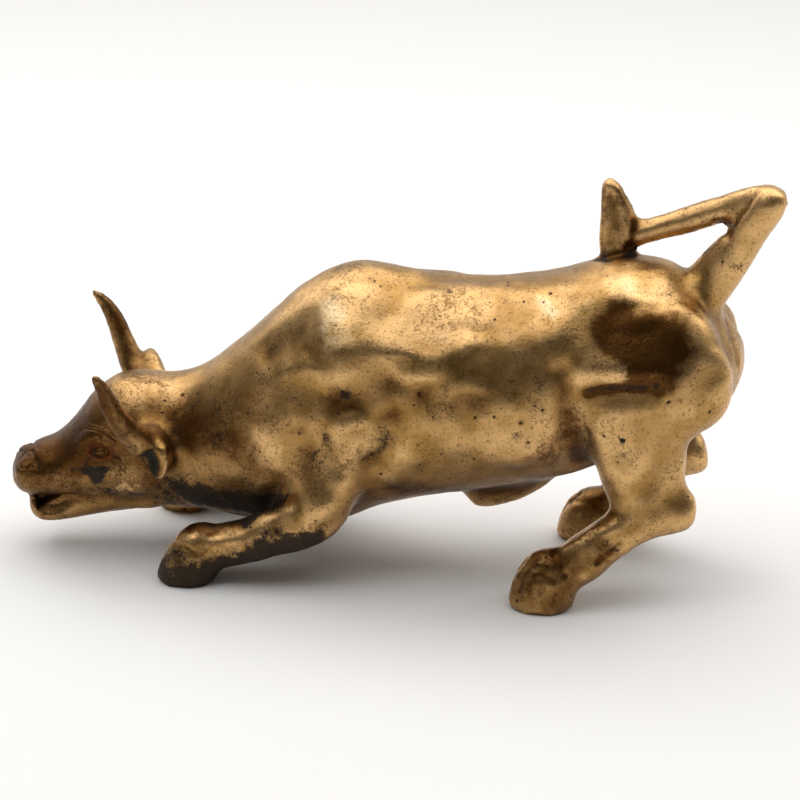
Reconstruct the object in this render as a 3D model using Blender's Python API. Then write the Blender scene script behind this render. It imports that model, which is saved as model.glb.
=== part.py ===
"""A cast brass bull, lowered to charge, with its tail bent forward and fixed to its back.

It is one solid. Forms are lofted along smooth lines and joined into one skin. The skin is
softened where the forms meet, as a wax model is, then worked with strokes that raise the
muscles and press in the folds. The hooves are cut flat. The bull faces -X, and its left
side is -Y.
"""

import math

import bmesh
import bpy
import numpy as np
from mathutils import Matrix, Vector

# The bull's length from its nose to the bend of its tail, in metres.
BULL_LENGTH = 0.323

# Pose, proportions and carving are shares of the length: one MM is 1/323 of it.
MM = BULL_LENGTH / 323.0

# How finely the joined skin is made, and how many triangles the solid keeps.
SKIN_CELL = 1.25 * MM
SOLID_TRIANGLES = 9800

# The sides of a loft's rings, and the rings for each station of its line.
RING_SIDES = 48
RINGS_PER_STATION = 5

BRASS_COLOUR = (0.47, 0.30, 0.11, 1.0)
BRASS_ROUGHNESS = 0.33

ALONG = (1.0, 0.0, 0.0)
ACROSS = (0.0, 1.0, 0.0)
UP = (0.0, 0.0, 1.0)

# Trunk, from the back of the head to the rump:
# (x, y, centre height, half width, half height).
TRUNK = [
    (-112, -3.0, 45.5, 21.0, 27.5),
    (-98, -0.5, 47.2, 24.0, 30.0),
    (-85, 0.0, 49.2, 27.0, 32.0),
    (-71.5, 0.0, 53.8, 30.5, 38.1),
    (-58, 0.0, 59.2, 34.0, 45.0),
    (-45, 0.0, 65.0, 36.5, 51.6),
    (-32, 0.0, 70.5, 38.5, 55.6),
    (-19, 0.0, 75.0, 39.0, 56.0),
    (-6.5, 0.0, 78.1, 38.5, 52.6),
    (13, 0.0, 79.4, 38.5, 48.2),
    (38, 0.0, 81.9, 39.5, 45.0),
    (63, 0.0, 86.8, 39.0, 44.6),
    (88, 0.0, 96.3, 36.5, 44.0),
    (100, 0.0, 99.2, 34.5, 40.9),
    (112, 0.0, 101.0, 31.5, 37.8),
    (124, 0.0, 99.6, 27.0, 28.4),
    (131, 0.0, 96.8, 22.5, 22.4),
    (137, 0.0, 96.8, 16.5, 16.6),
    (142.0, 0.0, 98.0, 9.5, 9.6),
    (144.0, 0.0, 98.4, 3.4, 3.4),
]

# The head turns to the bull's left about the poll, by this angle.
HEAD_TURN = math.radians(16.0)
POLL = (-104.0, -1.0)

# It also tips a little to that side, about a line at this height.
HEAD_TIP = math.radians(3.5)
HEAD_TIP_HEIGHT = 50.0

# Skull and upper jaw, in the head's own plane: distance forward of the poll,
# centre height, half width, half height.
SKULL = [
    (-10, 49.0, 22.0, 27.0),
    (3, 48.5, 25.5, 28.8),
    (14, 48.5, 24.5, 28.8),
    (21, 47.3, 22.5, 26.8),
    (28, 44.9, 20.0, 23.5),
    (35, 40.9, 17.5, 17.9),
    (43, 37.5, 15.2, 13.4),
    (51, 36.0, 13.8, 11.8),
    (57, 34.5, 12.6, 9.8),
    (61.3, 33.6, 9.8, 7.1),
    (63.8, 33.6, 4.5, 3.5),
]

# Lower jaw, in the same plane.
JAW = [
    (2, 27.0, 17.0, 11.2),
    (15, 25.0, 15.5, 9.4),
    (27, 23.5, 14.0, 9.6),
    (36, 21.0, 12.0, 8.8),
    (41, 18.2, 11.2, 6.4),
    (47, 15.8, 10.5, 4.0),
    (52, 15.6, 9.5, 3.8),
    (55.4, 18.6, 7.2, 5.9),
    (57.2, 19.2, 4.0, 4.2),
]

# What fills the mouth behind the lips.
TONGUE = [
    (28, 25.0, 9.0, 5.0),
    (42, 23.5, 8.0, 4.2),
    (48.5, 22.0, 6.5, 3.6),
    (51.5, 21.0, 3.0, 1.8),
]

# The horns in the head's frame: (forward, out to the side, height, half widths).
# The right one rises straighter and bends later.
LEFT_HORN = [
    (1, 14, 56.0, 7.5, 8.0),
    (4, 25, 58.5, 7.2, 7.8),
    (8.5, 33.2, 62.2, 6.2, 6.8),
    (13.3, 37.4, 69.0, 5.3, 5.8),
    (17.4, 40.3, 76.1, 4.7, 5.2),
    (21.2, 41.6, 84.8, 4.0, 4.5),
    (24.2, 42.3, 93.1, 2.9, 3.3),
    (27.4, 43.9, 98.7, 1.7, 1.9),
]
RIGHT_HORN = [
    (1, 14, 57.0, 7.5, 8.0),
    (5, 26, 60.0, 7.2, 7.8),
    (9.7, 34.5, 65.0, 6.0, 6.6),
    (12.3, 37.5, 71.2, 5.2, 5.6),
    (14.6, 39.8, 77.5, 4.6, 5.0),
    (17.1, 41.6, 84.9, 4.1, 4.5),
    (21.3, 43.0, 92.5, 3.1, 3.4),
    (26.6, 43.5, 98.2, 1.6, 1.8),
]

# The ears behind the horns: (forward, out, height, half tall, half thick).
# The left one is a short cup held low, and the right one a longer blade pricked up.
LEFT_EAR = [
    (0, 18, 54.5, 6.0, 4.8),
    (1.0, 25, 54.5, 7.4, 5.6),
    (1.6, 30, 54.4, 8.6, 6.0),
    (1.4, 34, 54.3, 9.0, 5.6),
    (0.6, 37, 54.0, 8.2, 4.4),
    (-0.6, 39.2, 53.6, 5.4, 2.4),
]
RIGHT_EAR = [
    (-2, 20, 59.5, 6.0, 4.2),
    (-0.2, 28, 60.6, 7.6, 4.4),
    (1.2, 35, 61.8, 9.0, 4.2),
    (2.6, 41, 62.8, 8.8, 3.4),
    (3.6, 44.5, 63.4, 6.4, 2.5),
    (4.0, 46.2, 63.6, 2.8, 1.4),
]

# Left foreleg, from the shoulder to the pastern: (x, y, z, half across, half deep).
FORELEG = [
    (-25, -18, 74, 10.0, 13.0),
    (-26, -26, 62, 12.0, 16.5),
    (-27, -30, 50, 12.5, 16.0),
    (-27, -33, 38, 12.5, 13.5),
    (-34, -35, 29.7, 11.2, 12.0),
    (-46, -36.5, 24.5, 9.8, 10.4),
    (-57, -37.5, 19.8, 9.2, 9.8),
    (-65, -38, 17.6, 9.0, 9.8),
    (-72, -38.5, 15.8, 8.6, 9.8),
    (-79, -39, 13, 8.0, 9.0),
]

# The right foreleg reaches further forward, by this much along and up at the hoof.
RIGHT_REACH = (-16.0, 0.0)

# A fore hoof, upwards from the sole: (forward of its centre, height, half across, half long).
FORE_HOOF = [
    (2.8, -2.0, 9.4, 10.6),
    (2.2, 1.5, 10.4, 12.8),
    (0.4, 7.5, 10.9, 13.4),
    (-1.6, 13.5, 10.4, 12.4),
    (-3.4, 19.0, 9.0, 10.6),
    (-5.0, 24.0, 6.0, 7.2),
    (-5.5, 26.5, 2.4, 2.8),
]
LEFT_FORE_PLACE = (-82.5, -38.9)
RIGHT_FORE_PLACE = (-100.0, 33.5)

# Left thigh down to the hock.
THIGH = [
    (103, -12, 120, 13.0, 20.5),
    (106.5, -19, 111, 16.5, 26.6),
    (106.8, -22, 97, 17.5, 33.8),
    (102.6, -24, 82, 16.8, 27.0),
    (102.0, -26, 70.5, 14.5, 21.6),
    (104.6, -28, 60, 12.0, 19.1),
    (106.5, -29.5, 52, 10.5, 17.5),
    (110, -30.5, 45, 9.5, 14.0),
]

# Left hock down to the pastern.
SHANK = [
    (127.5, -30, 44.0, 4.5, 5.0),
    (124, -30, 44.3, 7.5, 9.0),
    (116, -31, 43.8, 8.8, 10.2),
    (106, -33, 40.0, 8.8, 9.3),
    (98, -34, 35.0, 8.6, 9.2),
    (89, -35, 27.9, 8.8, 9.4),
    (83, -36, 22, 9.0, 10.2),
    (76, -37, 16, 8.4, 9.4),
]

# A hind hoof, in the same way as a fore hoof.
HIND_HOOF = [
    (1.2, -2.0, 9.8, 12.3),
    (1.2, 1.5, 10.9, 13.8),
    (0.6, 6.5, 11.5, 14.4),
    (-0.6, 12.5, 11.2, 13.6),
    (-1.8, 18.5, 9.8, 11.8),
    (-3.0, 23.5, 6.2, 8.0),
    (-3.5, 25.8, 2.4, 3.0),
]
LEFT_HIND_PLACE = (66.5, -38.5)
RIGHT_HIND_PLACE = (79.0, 31.5)

# The right hind leg stands further back and its hock higher, and it stands closer in.
RIGHT_HOCK_SHIFT = (0.8, 2.4)
RIGHT_HIND_SHIFT = (12.5, -1.6)
RIGHT_HIND_SPREAD = 0.86

# Its hoof is a little lower than the left one.
RIGHT_HIND_HOOF_HEIGHT = 0.88

# Tail: up from the rump, and forward again from the bend to the tuft.
TAIL_UP = [
    (117.5, 0, 118, 12.6, 12.6),
    (125.3, 0, 129.5, 10.8, 10.8),
    (130.5, 0, 137.5, 9.6, 9.6),
    (137.4, -1, 147.3, 8.4, 8.4),
    (143, -3, 158, 7.6, 7.6),
    (148, -4.5, 166.3, 7.3, 7.3),
    (150.4, -5, 171, 6.6, 6.6),
    (151.5, -5, 175, 4.0, 4.0),
]
TAIL_FORWARD = [
    (150.5, -5, 170.6, 6.0, 6.0),
    (145.5, -2, 169, 5.7, 5.7),
    (138, 2, 165.3, 5.6, 5.6),
    (127, 5, 160.3, 5.5, 5.5),
    (115, 7, 155.2, 5.4, 5.4),
    (102, 8, 150.2, 5.2, 5.2),
    (94, 8, 147.2, 5.0, 5.0),
    (88, 8, 145, 4.0, 4.0),
]
TUFT = [
    (88.0, 8, 137.6, 4.2, 4.6),
    (87.2, 8, 142.3, 5.0, 6.2),
    (88.4, 8, 149.0, 5.2, 7.8),
    (88.2, 8, 155.5, 4.8, 7.6),
    (86.6, 8, 162.0, 4.0, 6.2),
    (84.7, 8, 168.0, 3.0, 4.4),
    (83.9, 8, 172.2, 1.6, 1.8),
]

# The sheath under the belly.
SHEATH = [
    (27, 0, 35.0, 3.0, 4.5),
    (30.5, 0, 32.3, 5.2, 6.5),
    (36, 0, 31.0, 6.2, 7.2),
    (44, 0, 33.0, 6.3, 7.2),
    (54, 0, 37.2, 6.2, 7.6),
    (64, 0, 43.2, 5.4, 6.6),
    (71, 0, 49.5, 3.6, 4.2),
]

# A drop of metal left hanging at the throat.
DROP = [(-107, -15, 25, 2.4, 2.4), (-107, -15, 20.5, 2.0, 2.0), (-107, -15, 19, 0.8, 0.8)]

# Where the skin is softened most: (x, y, z, reach).
SOFT_PLACES = [
    (-28, -30, 58, 34),
    (-28, 30, 58, 34),
    (100, -28, 88, 58),
    (100, 28, 88, 58),
    (78, -20, 60, 26),
    (78, 20, 60, 26),
    (-93, 0, 55, 30),
    (-96, 0, 34, 22),
    (50, 0, 45, 30),
]
ROUNDS_BEFORE_STROKES = 40
ROUNDS_AFTER_STROKES = 6

# Strokes on the left side, repeated on the right: (points, reach, rise).
BODY_STROKES = [
    # shoulder blade: its top, the hollow in front of it and the valley behind
    ([(-19, -20, 123)], 20, 1.2),
    ([(-49, -23, 101), (-37, -25, 110), (-24, -32, 107)], 11, -1.2),
    ([(4, -36, 99), (-7, -36, 96), (-14, -38, 89), (-20, -38, 84), (-33, -37, 84)], 11, -1.7),
    ([(17, -27, 115)], 24, 0.9),
    # upper arm
    ([(-22, -39, 76), (-12, -38, 66)], 14, 1.4),
    ([(-35, -38, 74), (-36, -37, 60), (-37, -36, 48), (-46, -30, 36)], 12, -1.9),
    ([(4, -38, 79), (0, -37, 69), (-7, -35, 57)], 10, -1.4),
    ([(8, -36, 62), (-5, -33, 50), (-18, -41, 46)], 11, 1.1),
    # forearm
    ([(-38, -41, 36), (-28, -43, 39)], 10, 1.0),
    ([(-36, -39, 41), (-31, -44, 36), (-26, -44, 31)], 6, -1.1),
    # flank, and the fold before the thigh
    ([(72, -36, 104), (74, -38, 92), (76, -34, 74), (79, -25, 60)], 14, -2.6),
    ([(35, -39, 77), (60, -38, 78)], 28, 0.9),
    ([(20, -10, 127), (42, -9, 128), (63, -14, 130), (78, -18, 132)], 11, 0.9),
    # hip bone and the plane of the rump
    ([(93, -19, 135)], 13, 1.5),
    ([(81, -36, 105), (96, -38, 106)], 13, 0.9),
    ([(80, -37, 96), (93, -39, 97), (108, -39, 99)], 9, -1.2),
    ([(125, -29, 122), (119, -36, 111), (113, -39, 99)], 16, 1.0),
    ([(124, -8, 140), (130, -10, 132), (134, -6, 125)], 9, -1.0),
    # stifle and gaskin
    ([(90, -38, 76), (94, -38, 65)], 17, 1.3),
    ([(97, -40, 80)], 9, -0.7),
    ([(107, -40, 96), (109, -40, 78), (108, -39, 60)], 10, -0.8),
    ([(104, -39, 50), (97, -43, 36)], 8, 0.6),
    # tendon above the hind hoof
    ([(89, -44, 26), (97, -43, 32), (108, -40, 38)], 5, -0.9),
]

# Strokes along the middle: the cleft between the buttocks.
MIDDLE_STROKES = [
    ([(139, 0, 116), (143, 0, 103), (141, 0, 86), (133, 0, 68)], 10, -1.4),
    ([(-40, 0, 120), (-20, 0, 131), (5, 0, 130)], 14, 0.8),
]

# Strokes on the left half of the head, in its own frame, repeated on the right.
HEAD_STROKES = [
    # brow, the socket, and the eyeball in it
    ([(35, 15, 55), (28, 18.5, 60.5), (19, 22, 60)], 6, 1.6),
    ([(29, 19, 50), (22, 21, 49.5)], 7.5, -1.5),
    ([(26.5, 19, 50)], 4.6, 1.8),
    # nostril and the boss around it
    ([(60, 8.5, 40)], 6.5, 1.5),
    ([(54.5, 9, 44.5), (53, 11, 41.5)], 2.6, -1.3),
    # the mouth's corner, the cheek and the jaw's edge
    ([(44, 12, 25), (38, 13, 26)], 3.6, -1.6),
    ([(14, 23, 40)], 12, 1.2),
    ([(20, 16, 20), (6, 18, 30)], 6, -0.8),
]

# Hollows pressed in from one direction: (points, reach, rise, the side pressed on).
HOLLOWS = [
    ([(46, 0, 20), (51, 0, 19.5)], 7.0, -1.4, (0.0, 0.0, 1.0)),
    ([(5.0, 36.5, 54.5)], 8.0, -3.4, (0.75, 0.65, 0.0)),
    ([(4.5, -38, 61)], 8.5, -1.8, (1.0, -0.3, 0.0)),
]

# The cleft of a hoof, up its front, and the crease above it: (forward, across, height).
CLEFT = [(18, 0, 0), (16, 0, 6), (12, 0, 13), (7, 0, 19)]
CROWN = [(9, -9, 17), (1, -11, 20), (-8, -10, 18)]


def smooth_line(stations):
    """Points between the stations on a curve through them, by Catmull and Rom's rule."""
    knots = np.array(stations, float)
    ends = np.vstack([2 * knots[0] - knots[1], knots, 2 * knots[-1] - knots[-2]])
    line = []
    for i in range(1, len(ends) - 2):
        before, start, end, after = ends[i - 1 : i + 3]
        for t in np.arange(RINGS_PER_STATION) / RINGS_PER_STATION:
            line.append(
                0.5
                * (
                    2 * start
                    + (end - before) * t
                    + (2 * before - 5 * start + 4 * end - after) * t**2
                    + (3 * start - before - 3 * end + after) * t**3
                )
            )
    line.append(knots[-1])
    return np.array(line)


def loft(skin, stations, facing=None, level=ACROSS):
    """Adds a closed form to skin: rings along the stations' line, bridged and capped.

    A station is (x, y, z, half across, half deep) in MM. Rings stand square to the line,
    or all face along facing. Across lies as near to level as the ring allows.
    """
    line = smooth_line(stations)
    centres = line[:, :3]
    tangents = np.gradient(centres, axis=0)
    loops = []
    for centre, tangent, half in zip(centres, tangents, line[:, 3:]):
        normal = Vector(facing or tangent).normalized()
        deep = normal.cross(Vector(level)).normalized()
        across = deep.cross(normal).normalized()
        axes = Matrix((across * half[0], deep * half[1], normal)).transposed()
        place = Matrix.Translation(Vector(centre)) @ axes.to_4x4()
        ring = bmesh.ops.create_circle(
            skin, segments=RING_SIDES, radius=1.0, matrix=Matrix.Scale(MM, 4) @ place
        )
        loops.append({e for v in ring["verts"] for e in v.link_edges})
    bmesh.ops.bridge_loops(skin, edges=[e for loop in loops for e in loop])
    for loop in (loops[0], loops[-1]):
        bmesh.ops.contextual_create(skin, geom=list(loop))


def head_point(forward, side, height):
    """A point given in the head's own frame, placed on the bull."""
    rise = height - HEAD_TIP_HEIGHT
    out = side * math.cos(HEAD_TIP) + rise * math.sin(HEAD_TIP)
    height = HEAD_TIP_HEIGHT + rise * math.cos(HEAD_TIP) - side * math.sin(HEAD_TIP)
    x = POLL[0] - forward * math.cos(HEAD_TURN) + out * math.sin(HEAD_TURN)
    y = POLL[1] - forward * math.sin(HEAD_TURN) - out * math.cos(HEAD_TURN)
    return (x, y, height)


def mirrored(stations, spread=1.0):
    """The same points or stations on the bull's right side, at a share of their distance."""
    return [(s[0], -spread * s[1], *s[2:]) for s in stations]


def shifted(stations, first, last):
    """Stations moved along and up: the first of them by first, the last by last."""
    steps = np.linspace(first, last, len(stations))
    return [(s[0] + along, s[1], s[2] + up, *s[3:]) for s, (along, up) in zip(stations, steps)]


def add_trunk(skin):
    loft(skin, TRUNK, facing=ALONG)
    loft(skin, SHEATH, facing=ALONG)
    loft(skin, DROP)


def add_head(skin):
    facing = (-math.cos(HEAD_TURN), -math.sin(HEAD_TURN), 0.0)
    for form in (SKULL, JAW, TONGUE):
        stations = [
            (*head_point(forward, 0.0, height), across, tall)
            for forward, height, across, tall in form
        ]
        loft(skin, stations, facing=facing)
    for form, side, level in (
        (LEFT_HORN, 1, ALONG),
        (RIGHT_HORN, -1, ALONG),
        (LEFT_EAR, 1, UP),
        (RIGHT_EAR, -1, UP),
    ):
        stations = [
            (*head_point(forward, side * out, height), across, deep)
            for forward, out, height, across, deep in form
        ]
        loft(skin, stations, level=level)


def add_hoof(skin, form, place, tall=1.0):
    stations = [
        (place[0] - forward, place[1], tall * height, across, long)
        for forward, height, across, long in form
    ]
    loft(skin, stations, facing=UP)


def add_legs(skin):
    loft(skin, FORELEG)
    loft(skin, shifted(mirrored(FORELEG), (0.0, 0.0), RIGHT_REACH))
    loft(skin, THIGH)
    loft(skin, mirrored(THIGH))
    loft(skin, SHANK)
    loft(skin, shifted(mirrored(SHANK, RIGHT_HIND_SPREAD), RIGHT_HOCK_SHIFT, RIGHT_HIND_SHIFT))
    add_hoof(skin, FORE_HOOF, LEFT_FORE_PLACE)
    add_hoof(skin, FORE_HOOF, RIGHT_FORE_PLACE)
    add_hoof(skin, HIND_HOOF, LEFT_HIND_PLACE)
    add_hoof(skin, HIND_HOOF, RIGHT_HIND_PLACE, RIGHT_HIND_HOOF_HEIGHT)


def add_tail(skin):
    loft(skin, TAIL_UP)
    loft(skin, TAIL_FORWARD)
    loft(skin, TUFT)


def evaluated_mesh(obj):
    """The object's mesh with its modifiers worked in."""
    graph = bpy.context.evaluated_depsgraph_get()
    return bpy.data.meshes.new_from_object(obj.evaluated_get(graph))


def new_object(name, mesh):
    obj = bpy.data.objects.new(name, mesh)
    bpy.context.scene.collection.objects.link(obj)
    return obj


def modified(mesh, kind, **settings):
    """The mesh after one modifier."""
    obj = new_object("form", mesh)
    modifier = obj.modifiers.new("work", kind)
    for name, value in settings.items():
        setattr(modifier, name, value)
    made = evaluated_mesh(obj)
    bpy.data.objects.remove(obj)
    return made


def joined_forms():
    """All the forms as one closed skin."""
    skin = bmesh.new()
    add_trunk(skin)
    add_head(skin)
    add_legs(skin)
    add_tail(skin)
    bmesh.ops.recalc_face_normals(skin, faces=skin.faces)
    mesh = bpy.data.meshes.new("forms")
    skin.to_mesh(mesh)
    skin.free()
    mesh = modified(mesh, "REMESH", mode="VOXEL", voxel_size=SKIN_CELL)
    return modified(mesh, "SMOOTH", factor=0.5, iterations=5)


def corners_of(mesh):
    """The mesh's points, in MM."""
    points = np.empty(len(mesh.vertices) * 3)
    mesh.vertices.foreach_get("co", points)
    return points.reshape(-1, 3) / MM


def normals_of(mesh):
    normals = np.empty(len(mesh.vertices) * 3)
    mesh.vertex_normals.foreach_get("vector", normals)
    return normals.reshape(-1, 3)


def put_back(mesh, points):
    mesh.vertices.foreach_set("co", (points * MM).ravel())
    mesh.update()


def soften(mesh, rounds):
    """Draws each point towards its neighbours, most of all where the forms meet."""
    points = corners_of(mesh)
    ends = np.empty(len(mesh.edges) * 2, int)
    mesh.edges.foreach_get("vertices", ends)
    first, second = ends.reshape(-1, 2).T
    count = len(points)
    neighbours = np.bincount(first, minlength=count) + np.bincount(second, minlength=count)
    pull = np.zeros(count)
    for x, y, z, reach in SOFT_PLACES:
        away = np.linalg.norm(points - (x, y, z), axis=1) / reach
        pull = np.maximum(pull, np.clip(1.0 - away**2, 0.0, 1.0))
    pull = np.minimum(1.0, 2.0 * pull)[:, None]
    for _ in range(rounds):
        mean = np.stack(
            [
                np.bincount(first, points[second, axis], count)
                + np.bincount(second, points[first, axis], count)
                for axis in range(3)
            ],
            axis=1,
        )
        mean /= neighbours[:, None]
        points += 0.6 * pull * (mean - points)
    put_back(mesh, points)


def distance_to_line(points, line):
    """How far each point is from a line through the given places."""
    line = np.array(line, float)
    if len(line) == 1:
        return np.linalg.norm(points - line[0], axis=1)
    nearest = np.full(len(points), np.inf)
    for start, end in zip(line[:-1], line[1:]):
        span = end - start
        share = np.clip((points - start) @ span / (span @ span), 0.0, 1.0)
        away = np.linalg.norm(points - start - share[:, None] * span, axis=1)
        nearest = np.minimum(nearest, away)
    return nearest


def work(mesh, strokes):
    """Raises or presses the skin along strokes: (points, reach, rise, side pressed on)."""
    points = corners_of(mesh)
    normals = normals_of(mesh)
    move = np.zeros(len(points))
    for line, reach, rise, side in strokes:
        near = distance_to_line(points, line) / reach
        share = np.clip(1.0 - near**2, 0.0, 1.0) ** 2
        if side is not None:
            share *= np.clip(2.0 * (normals @ np.array(side)), 0.0, 1.0)
        move += rise * share
    put_back(mesh, points + normals * move[:, None])


def all_strokes():
    strokes = []
    for line, reach, rise in BODY_STROKES:
        strokes += [(line, reach, rise, None), (mirrored(line), reach, rise, None)]
    strokes += [(line, reach, rise, None) for line, reach, rise in MIDDLE_STROKES]
    for line, reach, rise in HEAD_STROKES:
        for half in (1, -1):
            placed = [head_point(f, half * side, height) for f, side, height in line]
            strokes.append((placed, reach, rise, None))
    for line, reach, rise, side in HOLLOWS:
        placed = [head_point(*place) for place in line]
        origin, end = Vector(head_point(0, 0, 0)), Vector(head_point(*side))
        strokes.append((placed, reach, rise, tuple((end - origin).normalized())))
    hooves = (LEFT_FORE_PLACE, RIGHT_FORE_PLACE, LEFT_HIND_PLACE, RIGHT_HIND_PLACE)
    for x, y in hooves:
        half = 1 if y < 0 else -1
        cleft = [(x - forward, y, height) for forward, _, height in CLEFT]
        crown = [(x - forward, y + half * across, height) for forward, across, height in CROWN]
        strokes += [(cleft, 3.6, -1.5, None), (crown, 4.0, -1.0, None)]
    return strokes


def cut_soles(mesh):
    """Cuts the hooves flat at the ground."""
    cut = bmesh.new()
    cut.from_mesh(mesh)
    bmesh.ops.bisect_plane(
        cut,
        geom=cut.verts[:] + cut.edges[:] + cut.faces[:],
        plane_co=(0.0, 0.0, 0.0),
        plane_no=UP,
        clear_inner=True,
    )
    bmesh.ops.holes_fill(cut, edges=[e for e in cut.edges if e.is_boundary])
    bmesh.ops.triangulate(cut, faces=cut.faces)
    bmesh.ops.recalc_face_normals(cut, faces=cut.faces)
    cut.to_mesh(mesh)
    cut.free()


def centre_over_origin(mesh):
    """Puts the origin under the middle of the bull's box, on the ground."""
    points = corners_of(mesh)
    low, high = points.min(axis=0), points.max(axis=0)
    shift = -0.5 * (low + high)
    shift[2] = -low[2]
    put_back(mesh, points + shift)


def brass():
    material = bpy.data.materials.new("cast_brass")
    material.use_nodes = True
    shader = material.node_tree.nodes["Principled BSDF"]
    shader.inputs["Base Color"].default_value = BRASS_COLOUR
    shader.inputs["Metallic"].default_value = 1.0
    shader.inputs["Roughness"].default_value = BRASS_ROUGHNESS
    return material


def main():
    for obj in list(bpy.data.objects):
        bpy.data.objects.remove(obj)
    mesh = joined_forms()
    soften(mesh, ROUNDS_BEFORE_STROKES)
    work(mesh, all_strokes())
    soften(mesh, ROUNDS_AFTER_STROKES)
    thin = SOLID_TRIANGLES / (2.0 * len(mesh.polygons))
    mesh = modified(mesh, "DECIMATE", ratio=thin)
    cut_soles(mesh)
    centre_over_origin(mesh)
    bull = new_object("bull", mesh)
    mesh.materials.append(brass())
    mesh.shade_smooth()
    return bull


main()
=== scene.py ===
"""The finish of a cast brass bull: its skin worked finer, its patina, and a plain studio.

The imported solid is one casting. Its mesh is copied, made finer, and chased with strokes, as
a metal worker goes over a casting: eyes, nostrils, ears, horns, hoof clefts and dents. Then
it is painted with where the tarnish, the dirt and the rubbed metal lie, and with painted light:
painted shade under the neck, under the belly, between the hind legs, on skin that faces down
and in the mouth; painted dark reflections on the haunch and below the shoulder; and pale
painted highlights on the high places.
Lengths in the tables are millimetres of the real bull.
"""

import math

import bmesh
import bpy
import numpy as np
from mathutils import Matrix, Vector, noise
from mathutils.bvhtree import BVHTree


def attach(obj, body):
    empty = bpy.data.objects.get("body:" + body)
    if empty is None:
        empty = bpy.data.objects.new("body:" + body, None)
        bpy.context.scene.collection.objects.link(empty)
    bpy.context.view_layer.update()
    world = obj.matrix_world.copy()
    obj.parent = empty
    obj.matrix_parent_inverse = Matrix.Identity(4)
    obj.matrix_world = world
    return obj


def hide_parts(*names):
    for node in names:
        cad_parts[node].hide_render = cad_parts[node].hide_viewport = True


bl_info = {
    "name": "Cast brass bull",
    "version": (1, 0, 0),
    "blender": (4, 5, 0),
    "location": "3D View > Sidebar > Bull",
    "description": "Works the skin, patina and studio of a cast brass bull",
    "category": "Object",
}

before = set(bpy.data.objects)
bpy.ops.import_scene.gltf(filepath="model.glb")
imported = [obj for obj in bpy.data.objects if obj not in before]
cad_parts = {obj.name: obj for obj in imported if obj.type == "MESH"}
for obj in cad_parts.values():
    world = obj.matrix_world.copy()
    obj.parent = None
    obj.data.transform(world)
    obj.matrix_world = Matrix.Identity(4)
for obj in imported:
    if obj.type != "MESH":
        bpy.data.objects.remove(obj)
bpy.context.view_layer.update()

MM = 0.001

# The bull's own zero, below the middle of its body, in the frame.
BULL_ZERO = Vector((5.14, 3.89, 0.0)) * MM

# The head's own frame: it turns to the left about the poll, and tips to that side.
HEAD_TURN = math.radians(16.0)
HEAD_TIP = math.radians(3.5)
HEAD_TIP_HEIGHT = 50.0
POLL = (-104.0, -1.0)

# What lies forward of this, and the hooves, gets a finer skin than the body.
HEAD_BEGINS = -88.0
HOOF_TOP = 25.0

LEFT, RIGHT = 1, -1


def hex_colour(text):
    """A linear colour from its sRGB hex value."""
    parts = [int(text[i : i + 2], 16) / 255 for i in (1, 3, 5)]
    linear = [c / 12.92 if c <= 0.04045 else ((c + 0.055) / 1.055) ** 2.4 for c in parts]
    return (*linear, 1.0)


def head_place(forward, side, height):
    """A place in the head's frame, side out to the bull's left, in the bull's own frame."""
    rise = height - HEAD_TIP_HEIGHT
    out = side * math.cos(HEAD_TIP) + rise * math.sin(HEAD_TIP)
    height = HEAD_TIP_HEIGHT + rise * math.cos(HEAD_TIP) - side * math.sin(HEAD_TIP)
    x = POLL[0] - forward * math.cos(HEAD_TURN) + out * math.sin(HEAD_TURN)
    y = POLL[1] - forward * math.sin(HEAD_TURN) - out * math.cos(HEAD_TURN)
    return Vector((x, y, height))


def head_way(forward, side, height):
    """A direction in the head's frame, in the bull's own frame."""
    return (head_place(forward, side, height) - head_place(0, 0, 0)).normalized()


def in_head(points):
    """The points' forward, side and height in the head's frame."""
    along = points[:, 0] - POLL[0]
    across = points[:, 1] - POLL[1]
    forward = -along * math.cos(HEAD_TURN) - across * math.sin(HEAD_TURN)
    out = along * math.sin(HEAD_TURN) - across * math.cos(HEAD_TURN)
    up = points[:, 2] - HEAD_TIP_HEIGHT
    side = out * math.cos(HEAD_TIP) - up * math.sin(HEAD_TIP)
    rise = out * math.sin(HEAD_TIP) + up * math.cos(HEAD_TIP)
    return forward, side, HEAD_TIP_HEIGHT + rise


class Skin:
    """The bull's mesh while it is worked, with its points in millimetres in its own frame."""

    def __init__(self, mesh):
        self.mesh = mesh
        flat = np.empty(len(mesh.vertices) * 3)
        mesh.vertices.foreach_get("co", flat)
        self.points = (flat.reshape(-1, 3) - np.array(BULL_ZERO)) / MM
        ends = np.empty(len(mesh.edges) * 2, int)
        mesh.edges.foreach_get("vertices", ends)
        self.first, self.second = ends.reshape(-1, 2).T
        count = len(self.points)
        self.links = np.bincount(self.first, minlength=count)
        self.links += np.bincount(self.second, minlength=count)

    def put_back(self):
        flat = self.points * MM + np.array(BULL_ZERO)
        self.mesh.vertices.foreach_set("co", flat.ravel())
        self.mesh.update()

    def normals(self):
        self.put_back()
        flat = np.empty(len(self.points) * 3)
        self.mesh.vertex_normals.foreach_get("vector", flat)
        return flat.reshape(-1, 3)

    def mean_of_neighbours(self, values):
        count = len(self.points)
        total = np.stack(
            [
                np.bincount(self.first, values[self.second, k], count)
                + np.bincount(self.second, values[self.first, k], count)
                for k in range(values.shape[1])
            ],
            axis=1,
        )
        return total / self.links[:, None]

    def even_out(self, rounds, share, strength=0.5, back=-0.52):
        """Smooths ripples and facets away and keeps the volume, most where share is 1."""
        share = share[:, None]
        for _ in range(rounds):
            for factor in (strength, back):
                step = self.mean_of_neighbours(self.points) - self.points
                self.points += factor * share * step

    def tree(self):
        """The skin as it is, for finding places on it."""
        self.put_back()
        mesh = bmesh.new()
        mesh.from_mesh(self.mesh)
        tree = BVHTree.FromBMesh(mesh)
        mesh.free()
        return tree


# How far outside the bull a search for a place on its skin starts.
SEARCH_START = 60.0


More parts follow.
